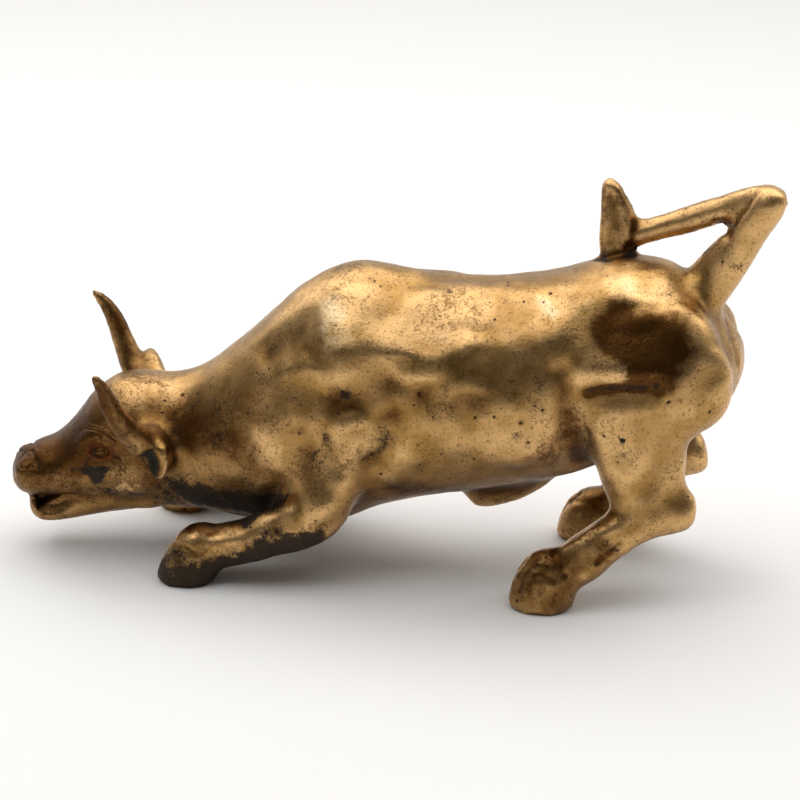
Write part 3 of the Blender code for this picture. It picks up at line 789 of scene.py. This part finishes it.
def work_placed(skin, strokes):
    """Strokes along lines whose places move to the nearest points of the skin."""
    normals = skin.normals()
    for line, reach, rise in strokes:
        nearest = [
            skin.points[np.argmin(np.linalg.norm(skin.points - np.array(place), axis=1))]
            for place in line
        ]
        stroke(skin, normals, nearest, reach, rise)


def painted(points, marks):
    """The amount of one finish at each point, from its marks."""
    amount = np.zeros(len(points))
    for line, reach, most, paired in marks:
        lines = [line]
        if paired:
            lines.append([(x, -y, z) for x, y, z in line])
        for one in lines:
            near = falloff(distance_to_line(points, one), reach * MARK_SPREAD)
            amount = np.maximum(amount, most * near)
    return amount


def ragged(points):
    """The points moved aside a little by noise, so that no painted edge runs smooth."""
    for size, most in RAGGED:
        off = np.array(
            [
                [noise.noise(Vector(place) / size + Vector(shift)) for shift in RAGGED_SHIFTS]
                for place in points
            ]
        )
        points = points + most * off
    return points


# A crease or an edge counts fully where smoothing it so often moves the skin this far.
HOLLOW_ROUNDS = 6
HOLLOW_FULL = 0.35


def hollow_of(skin):
    """1 in the bottom of a crease and -1 on a sharp edge, about 3 mm wide."""
    normals = skin.normals()
    smooth = skin.points.copy()
    for _ in range(HOLLOW_ROUNDS):
        smooth += 0.6 * (skin.mean_of_neighbours(smooth) - smooth)
    off = np.einsum("ij,ij->i", smooth - skin.points, normals)
    return np.clip(off / HOLLOW_FULL, -1.0, 1.0)


def paint(skin):
    """Keeps on the mesh how much of each finish there is at each point."""
    points = skin.points
    normals = skin.normals()
    moved = ragged(points)
    hollow = hollow_of(skin)
    finishes = {
        "blackened_and_shaded": painted(moved, BLACKENED_AND_SHADED),
        "browned_and_shaded": painted(moved, BROWNED_AND_SHADED),
        "rubbed": painted(moved, RUBBED),
        "painted_highlight": painted(moved, PAINTED_HIGHLIGHTS),
        "reddened": painted(points, REDDENED),
        "greened": painted(points, GREENED),
        "brushed": painted(points, BRUSHED),
        "creased": np.maximum(hollow, 0.0),
        "edged": np.maximum(-hollow, 0.0),
    }
    for name, marks in FOLD_MARKS.items():
        finishes[name] = np.maximum(finishes[name], painted(points, marks))

    # What follows a form: the most that each finish has there. The ring round the eye is red and
    # the eyeball a little, and the face of the horn is brown. The mouth's opening is darkened and
    # the skin that faces down is browned, both as painted shade.
    cup = [head_place(*place) for place in EAR_CUP]
    in_cup = falloff(distance_to_line(points, cup), 8.0)
    in_mouth = mouth_share(points)
    forward, side, height = in_head(points)
    from_eye = np.hypot((forward - EYE[0]) / EYE_RING[0], (height - EYE[1]) / EYE_RING[1])
    ring = np.clip(1.0 - 2.6 * np.abs(from_eye - 0.9), 0.3 * (from_eye < 0.9), 1.0)
    ring *= np.abs(side) > EYE_OUT
    horn = [head_place(*place) for place in HORN_LINE]
    facing = np.clip(1.6 * (normals @ np.array(head_way(0.75, 0.65, 0.0))) - 0.4, 0.0, 1.0)
    on_horn = falloff(distance_to_line(points, horn), 12.0) * facing
    down = np.clip(-normals[:, 2], 0.0, 1.0)
    followed = [
        ("blackened_and_shaded", 0.75 * in_cup),
        ("browned_and_shaded", 1.5 * in_cup),
        ("greened", in_cup),
        # painted shade in the mouth's opening
        ("browned_and_shaded", 1.8 * in_mouth),
        ("blackened_and_shaded", 0.55 * in_mouth),
        ("reddened", 0.95 * ring),
        ("browned_and_shaded", 1.3 * on_horn),
        ("blackened_and_shaded", 0.45 * on_horn),
        # painted shade: skin that faces down is browned
        ("browned_and_shaded", 0.75 * down),
    ]
    for half in (LEFT, RIGHT):
        cut = [head_place(ahead, half * out_by, up) for ahead, out_by, up in NOSTRIL_CUT]
        followed.append(("blackened_and_shaded", 0.8 * falloff(distance_to_line(points, cut), 2.2)))
    for place, reach, depth in BLOWHOLES:
        spot = falloff(distance_to_line(points, [place]), reach * 1.4)
        followed.append(("blackened_and_shaded", 1.3 * spot))

    # The ear's rim and the flaw of the casting stand out, and so are rubbed bright.
    rim = [head_place(*place) for place in EAR_RIM]
    on_rim = falloff(distance_to_line(points, rim), 1.9)
    on_flaw = falloff(distance_to_line(points, FLAW), 3.0)
    bright = np.maximum(on_rim, on_flaw)
    followed.append(("rubbed", 1.3 * bright))
    for name, amount in followed:
        finishes[name] = np.maximum(finishes[name], amount)
    finishes["blackened_and_shaded"] *= 1.0 - 0.9 * bright
    finishes["browned_and_shaded"] *= 1.0 - 0.7 * bright
    for name, amount in finishes.items():
        kept = skin.mesh.attributes.new(name, "FLOAT", "POINT")
        kept.data.foreach_set("value", amount.astype(np.float32))


def new_piece(name, mesh):
    piece = bpy.data.objects.new(name, mesh)
    bpy.context.scene.collection.objects.link(piece)
    return piece


def add_node(tree, kind, settings=None, **inputs):
    """Adds a shader node, with its settings, and its inputs as values or as links.

    An input is named with underscores for spaces, or by its number after an i.
    """
    made = tree.nodes.new(kind)
    for name, value in (settings or {}).items():
        setattr(made, name, value)
    for name, value in inputs.items():
        numbered = name[0] == "i" and name[1:].isdigit()
        socket = made.inputs[int(name[1:])] if numbered else made.inputs[name.replace("_", " ")]
        if isinstance(value, bpy.types.NodeSocket):
            tree.links.new(value, socket)
        else:
            socket.default_value = value
    return made


# The names of the amounts that paint keeps on the mesh.
FINISHES = ("blackened_and_shaded", "browned_and_shaded", "rubbed", "painted_highlight", "reddened", "greened", "brushed")
FINISHES += ("creased", "edged")

# The patina's noises: size on the real bull in mm along x, y and z, then detail, roughness,
# seed and distortion. Clouds are what a hand rubs in one stroke, and mottle is one blot of
# tarnish. The sand's grain, the brush marks and the scratches are 0.2 to 0.4 mm on the real
# one, which is too fine to show, so they are drawn three to five times as coarse.
NOISES = {
    "clouds": ((30.0, 30.0, 30.0), 4.0, 0.55, 1.0, 0.4),
    "mottle": ((7.5, 7.5, 7.5), 8.0, 0.78, 4.0, 0.3),
    "clusters": ((15.0, 15.0, 15.0), 4.0, 0.65, 9.0, 0.0),
    "grain": ((1.1, 1.1, 1.1), 3.0, 0.6, 2.0, 0.0),
    "brush": ((1.5, 1.5, 24.0), 2.0, 0.5, 6.0, 0.0),
    "scratch": ((14.0, 0.8, 0.8), 3.0, 0.7, 7.0, 0.6),
}

# Dark dots: how far apart their cells are in mm. Pepper is the finest corrosion.
DOTS = {"pepper": 1.25, "specks": 2.8, "pits": 7.5}

# How far each noise bends the dots' cells.
BENDS = {"grain colour": 1.4 * MM, "mottle colour": 4.0 * MM}

# What the noises and the painted amounts make, in order: (name, start, weight of each
# pattern added to it, ramp, colour). Where the sum goes from the ramp's first value to its
# second, the result goes from 0 to its third, and so much of the colour lies there.
LAYERS = [
    ("bright metal", 0.0, {"rubbed": 0.32, "edged": 0.25, "mottle": 1.0, "clouds": 0.55,
                           "grain": 0.45}, (0.88, 1.30, 1.0), "rubbed"),
    # the painted highlights: pale colour where the highlights fall
    ("painted sheen", 0.0, {"painted_highlight": 1.0, "mottle": 1.2}, (0.85, 1.75, 0.6), "painted_highlight"),
    ("brush marks", 0.0, {"brush": 1.3, "brushed": 1.0}, (1.2, 2.1, 1.0), None),
    ("brown tarnish and shade", 0.0, {"browned_and_shaded": 1.0, "creased": 0.55, "mottle": 1.3, "grain": 0.45,
                            "brush marks": 0.35}, (1.07, 1.95, 1.0), "browned_and_shaded"),
    ("stain", 0.0, {"clouds": 0.8, "mottle": 1.0, "grain": 0.35}, (1.07, 1.33, 0.62), "browned_and_shaded"),
    ("dirt in the grain", 0.0, {"grain": 1.2, "mottle": 0.9, "clouds": 0.4},
     (1.20, 1.62, 0.6), "browned_and_shaded"),
    ("red oxide", 0.0, {"reddened": 1.0, "mottle": 0.8}, (0.75, 1.3, 0.7), "reddened"),
    ("black oxide and shade", 0.0, {"blackened_and_shaded": 1.0, "creased": 0.25, "mottle": 1.9, "grain": 0.9},
     (1.75, 2.25, 0.94), "blackened_and_shaded"),
    ("verdigris", 0.0, {"greened": 1.0, "mottle": 0.8}, (0.8, 1.3, 0.6), "greened"),
    ("crowd", -0.5, {"clusters": 2.0, "blackened_and_shaded": 0.5, "browned_and_shaded": 0.1}, None, None),
    ("pepper radius", 0.0, {"crowd": 1.0, "pepper luck": 1.0}, (0.94, 1.26, 0.42), None),
    ("specks radius", 0.0, {"crowd": 1.0, "specks luck": 1.0}, (1.36, 1.66, 0.32), None),
    ("pits radius", 0.0, {"crowd": 1.0, "pits luck": 1.0}, (1.40, 1.70, 0.15), None),
    ("pepper", 0.0, {"pepper radius": 1.0, "pepper distance": -1.0}, (0.0, 0.12, 0.40),
     "speckled"),
    ("specks", 0.0, {"specks radius": 1.0, "specks distance": -1.0}, (0.0, 0.12, 0.85),
     "speckled"),
    ("pits", 0.0, {"pits radius": 1.0, "pits distance": -1.0}, (0.0, 0.12, 0.85), "speckled"),
    ("metallic", 1.0, {"black oxide and shade": -0.35, "verdigris": -0.1, "specks": -0.25}, None, None),
    ("roughness", -0.15, {"mottle": 0.30, "clouds": 0.20, "brown tarnish and shade": 0.08,
                          "black oxide and shade": 0.19, "verdigris": 0.3, "painted sheen": 0.06, "specks": 0.15,
                          "brushed": -0.06}, None, None),
    ("relief", 0.0, {"mottle": 0.30, "grain": 0.11, "scratch": 0.035, "brush marks": 0.07,
                     "pepper": -0.03, "specks": -0.10, "pits": -0.40}, None, None),
]


def aged_brass(looks):
    """Sand-cast brass, filed and brushed by hand, then left to tarnish for decades.

    The metal is brightest where hands rub it, turns olive and brown where they don't, and
    is blackened on the foreleg. Painted shade darkens it under the neck, the belly, between the
    hind legs and in the mouth, painted dark reflections lie on the haunch and below the
    shoulder, and pale painted highlights on the high places. It is peppered with fine dark
    specks, and dirt lies in its creases.
    """
    material = bpy.data.materials.new("aged cast brass")
    material.use_nodes = True
    tree = material.node_tree
    shader = tree.nodes["Principled BSDF"]
    place = add_node(tree, "ShaderNodeTexCoord").outputs["Object"]
    found = {}
    for name in FINISHES:
        painted_on = add_node(tree, "ShaderNodeAttribute", {"attribute_name": name})
        found[name] = painted_on.outputs["Fac"]
    for name, (sizes, detail, roughness, seed, distortion) in NOISES.items():
        scale = tuple(1.0 / (size * MM) for size in sizes)
        turned = add_node(tree, "ShaderNodeMapping", Vector=place, Scale=scale)
        made = add_node(
            tree,
            "ShaderNodeTexNoise",
            {"noise_dimensions": "4D"},
            Vector=turned.outputs[0],
            W=seed,
            Scale=1.0,
            Detail=detail,
            Roughness=roughness,
            Distortion=distortion,
        )
        found[name] = made.outputs["Fac"]
        found[name + " colour"] = made.outputs["Color"]

    # The grain and the mottle bend the dots' cells, so that no dot is round.
    bent = place
    for name, most in BENDS.items():
        bent = add_node(
            tree,
            "ShaderNodeVectorMath",
            {"operation": "MULTIPLY_ADD"},
            i0=found[name],
            i1=(most, most, most),
            i2=bent,
        ).outputs[0]
    for name, spacing in DOTS.items():
        cells = add_node(tree, "ShaderNodeTexVoronoi", Vector=bent, Scale=1.0 / (spacing * MM))
        luck = add_node(tree, "ShaderNodeSeparateColor", Color=cells.outputs["Color"])
        found[name + " luck"] = luck.outputs[0]
        found[name + " distance"] = cells.outputs["Distance"]

    colour = hex_colour(looks.tarnished)
    for name, start, weights, ramp, coat in LAYERS:
        total = start
        for pattern, weight in weights.items():
            total = add_node(
                tree,
                "ShaderNodeMath",
                {"operation": "MULTIPLY_ADD"},
                i0=found[pattern],
                i1=weight,
                i2=total,
            ).outputs[0]
        if ramp is not None:
            total = add_node(
                tree,
                "ShaderNodeMapRange",
                {"interpolation_type": "SMOOTHSTEP"},
                Value=total,
                From_Min=ramp[0],
                From_Max=ramp[1],
                To_Max=ramp[2],
            ).outputs[0]
        if coat is not None:
            colour = add_node(
                tree,
                "ShaderNodeMix",
                {"data_type": "RGBA"},
                i0=total,
                i6=colour,
                i7=hex_colour(getattr(looks, coat)),
            ).outputs[2]
        found[name] = total
    rough = add_node(tree, "ShaderNodeMath", i0=found["roughness"], i1=looks.roughness)
    bump = add_node(tree, "ShaderNodeBump", Strength=1.0, Distance=MM, Height=found["relief"])
    tree.links.new(colour, shader.inputs["Base Color"])
    tree.links.new(found["metallic"], shader.inputs["Metallic"])
    tree.links.new(rough.outputs[0], shader.inputs["Roughness"])
    tree.links.new(bump.outputs[0], shader.inputs["Normal"])
    return material


def colour_choice(name, description, default):
    """A colour of the patina as text, such as #B3854A."""
    return bpy.props.StringProperty(name=name, description=description, default=default, maxlen=7)


class BullLooks(bpy.types.PropertyGroup):
    """What a user would change of the bull and its studio."""

    skin_cell: bpy.props.FloatProperty(
        name="Skin cell",
        description="Size of the grid that the bull's skin is worked on",
        default=1.9 * MM,
        min=0.8 * MM,
        max=4.0 * MM,
        unit="LENGTH",
        precision=4,
    )
    rubbed: colour_choice("Rubbed", "Colour of the metal where hands keep it bright", "#DDB278")
    tarnished: colour_choice("Tarnished", "Colour of most of the metal", "#A07943")
    # Colour of the painted highlights on the high places.
    painted_highlight: colour_choice("Painted highlight", "Colour of the pale bloom on the high places", "#F3DDB6")
    # Used for the heavier tarnish, and for the painted shade under the belly and on skin that
    # faces down, and the painted dark reflections on the haunch and below the shoulder.
    browned_and_shaded: colour_choice("Browned and shaded", "Colour of the heavier tarnish", "#58391A")
    # Used for the black oxide, and for the painted shade under the neck, between the hind legs and
    # in the mouth.
    blackened_and_shaded: colour_choice("Blackened and shaded", "Colour of the black oxide and shade", "#1F150D")
    reddened: colour_choice("Reddened", "Colour of the red oxide", "#6A2C1A")
    greened: colour_choice("Greened", "Colour of the dark verdigris", "#17281D")
    speckled: colour_choice("Speckled", "Colour of the dark dots", "#24160B")
    roughness: bpy.props.FloatProperty(
        name="Roughness",
        description="Roughness of the metal between its rubbed and its dull places",
        default=0.21,
        min=0.0,
        max=1.0,
        subtype="FACTOR",
    )
    light_strength: bpy.props.FloatProperty(
        name="Softbox",
        description="Power of the softbox overhead",
        default=17.0,
        min=0.0,
        unit="POWER",
    )


class BULL_OT_skin(bpy.types.Operator):
    """Makes the bull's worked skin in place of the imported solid"""

    bl_idname = "bull.skin"
    bl_label = "Bull"

    def execute(self, context):
        looks = context.scene.bull_looks
        mesh = refined_copy(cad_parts["bull"], looks.skin_cell)
        skin = Skin(mesh)
        skin.even_out(8, smoothing_share(skin.points))
        work_body(skin)
        flatten_facets(skin)
        wander(skin)
        skin.even_out(2, smoothing_share(skin.points))
        work_mouth(skin)
        work_head(skin)
        work_ear_and_horn(skin)
        work_hooves(skin)
        work_placed(skin, PLACED_STROKES)
        skin.even_out(1, smoothing_share(skin.points))
        work_placed(skin, [([place], reach, -depth) for place, reach, depth in BLOWHOLES])
        low = skin.points[:, 2] < 0.0
        skin.points[low, 2] = 0.0
        skin.put_back()
        paint(skin)
        mesh.shade_smooth()
        piece = new_piece("bull_casting", mesh)
        mesh.materials.clear()
        mesh.materials.append(aged_brass(looks))
        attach(piece, "root")
        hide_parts("bull")
        return {"FINISHED"}


# The camera, from the photograph: swung towards the tail and looking down, at this
# distance from the middle of the bull's height. The focal length is in pixels of a
# picture 800 wide.
CAMERA_SWING = math.radians(9.5)
CAMERA_DROP = math.radians(22.9)
CAMERA_DISTANCE = 1.1366
CAMERA_AIM_HEIGHT = 71.5
FOCAL_PIXELS = 2705
PICTURE_WIDTH = 800
SENSOR_WIDTH = 36.0
SEEN_TO = 30.0

# The floor, of plain matt white paper, in metres.
FLOOR_RADIUS = 6.0
FLOOR_SEGMENTS = 96
PAPER_COLOUR = "#F4F3F2"
PAPER_ROUGHNESS = 0.9
PAPER_GLOSS = 0.1

# The strength of the studio's walls: dark where the camera stands, and pale behind the
# bull. The change lies between these two places of the Y axis.
DIM, PALE = 0.12, 0.75
DIM_TO, PALE_FROM = -0.35, 0.7
WALL_COLOUR = (1.0, 0.98, 0.95, 1.0)

# Each softbox: its middle, its width and depth, and its share of the light strength.
SOFTBOXES = {
    "softbox overhead": ((0.0, 0.28, 1.25), (1.9, 1.7), 1.0),
    "softbox behind the tail": ((1.15, 0.45, 0.95), (0.55, 0.7), 0.16),
    "softbox behind the head": ((-0.95, 0.75, 0.85), (0.55, 0.7), 0.12),
    "softbox before the head": ((-0.58, -0.56, 1.02), (0.5, 0.36), 0.08),
}


class BULL_OT_studio(bpy.types.Operator):
    """Sets the floor, the soft light and the camera"""

    bl_idname = "bull.studio"
    bl_label = "Studio"

    def execute(self, context):
        looks = context.scene.bull_looks
        scene = context.scene
        floor_form = bmesh.new()
        bmesh.ops.create_circle(
            floor_form, cap_ends=True, segments=FLOOR_SEGMENTS, radius=FLOOR_RADIUS
        )
        floor_mesh = bpy.data.meshes.new("floor")
        floor_form.to_mesh(floor_mesh)
        floor_form.free()
        floor = new_piece("floor", floor_mesh)
        paper = bpy.data.materials.new("white paper")
        paper.use_nodes = True
        paper_shader = paper.node_tree.nodes["Principled BSDF"]
        paper_shader.inputs["Base Color"].default_value = hex_colour(PAPER_COLOUR)
        paper_shader.inputs["Roughness"].default_value = PAPER_ROUGHNESS
        paper_shader.inputs["Specular IOR Level"].default_value = PAPER_GLOSS
        floor_mesh.materials.append(paper)

        for name, (middle, size, share) in SOFTBOXES.items():
            light = bpy.data.lights.new(name, "AREA")
            light.shape = "RECTANGLE"
            light.size, light.size_y = size
            light.energy = looks.light_strength * share
            box = bpy.data.objects.new(name, light)
            box.location = middle
            if middle[0] != 0.0:
                box.rotation_euler = Vector(middle).to_track_quat("Z", "Y").to_euler()
            scene.collection.objects.link(box)

        world = bpy.data.worlds.new("studio")
        scene.world = world
        world.use_nodes = True
        tree = world.node_tree
        background = tree.nodes["Background"]
        coords = add_node(tree, "ShaderNodeTexCoord")
        parts = add_node(tree, "ShaderNodeSeparateXYZ", Vector=coords.outputs["Generated"])
        behind = add_node(
            tree,
            "ShaderNodeMapRange",
            {"interpolation_type": "SMOOTHSTEP"},
            Value=parts.outputs["Y"],
            From_Min=DIM_TO,
            From_Max=PALE_FROM,
            To_Min=DIM,
            To_Max=PALE,
        )
        tree.links.new(behind.outputs[0], background.inputs["Strength"])
        background.inputs["Color"].default_value = WALL_COLOUR

        scene.view_settings.view_transform = "Standard"

        lens = bpy.data.cameras.new("camera")
        camera = bpy.data.objects.new("camera", lens)
        scene.collection.objects.link(camera)
        along = Vector((-math.sin(CAMERA_SWING), math.cos(CAMERA_SWING), 0.0))
        look = along * math.cos(CAMERA_DROP) - Vector((0, 0, math.sin(CAMERA_DROP)))
        up = along * math.sin(CAMERA_DROP) + Vector((0, 0, math.cos(CAMERA_DROP)))
        right = look.cross(up)
        aim = BULL_ZERO + Vector((0, 0, CAMERA_AIM_HEIGHT * MM))
        turned = Matrix((right, up, -look)).transposed().to_4x4()
        camera.matrix_world = Matrix.Translation(aim - look * CAMERA_DISTANCE) @ turned
        lens.sensor_width = SENSOR_WIDTH
        lens.lens = lens.sensor_width * FOCAL_PIXELS / PICTURE_WIDTH
        lens.clip_end = SEEN_TO
        scene.camera = camera
        return {"FINISHED"}


class BULL_PT_panel(bpy.types.Panel):
    """The bull's sizes, and the operators in order"""

    bl_idname = "BULL_PT_panel"
    bl_label = "Cast brass bull"
    bl_space_type = "VIEW_3D"
    bl_region_type = "UI"
    bl_category = "Bull"

    def draw(self, context):
        looks = context.scene.bull_looks
        layout = self.layout
        for name in BullLooks.__annotations__:
            layout.prop(looks, name)
        for operator in (BULL_OT_skin, BULL_OT_studio):
            layout.operator(operator.bl_idname)


CLASSES = (BullLooks, BULL_OT_skin, BULL_OT_studio, BULL_PT_panel)


def register():
    for cls in CLASSES:
        bpy.utils.register_class(cls)
    bpy.types.Scene.bull_looks = bpy.props.PointerProperty(type=BullLooks)


def unregister():
    del bpy.types.Scene.bull_looks
    for cls in reversed(CLASSES):
        bpy.utils.unregister_class(cls)


def main():
    register()
    bpy.ops.bull.skin()
    bpy.ops.bull.studio()


if __name__ == "__main__":
    main()
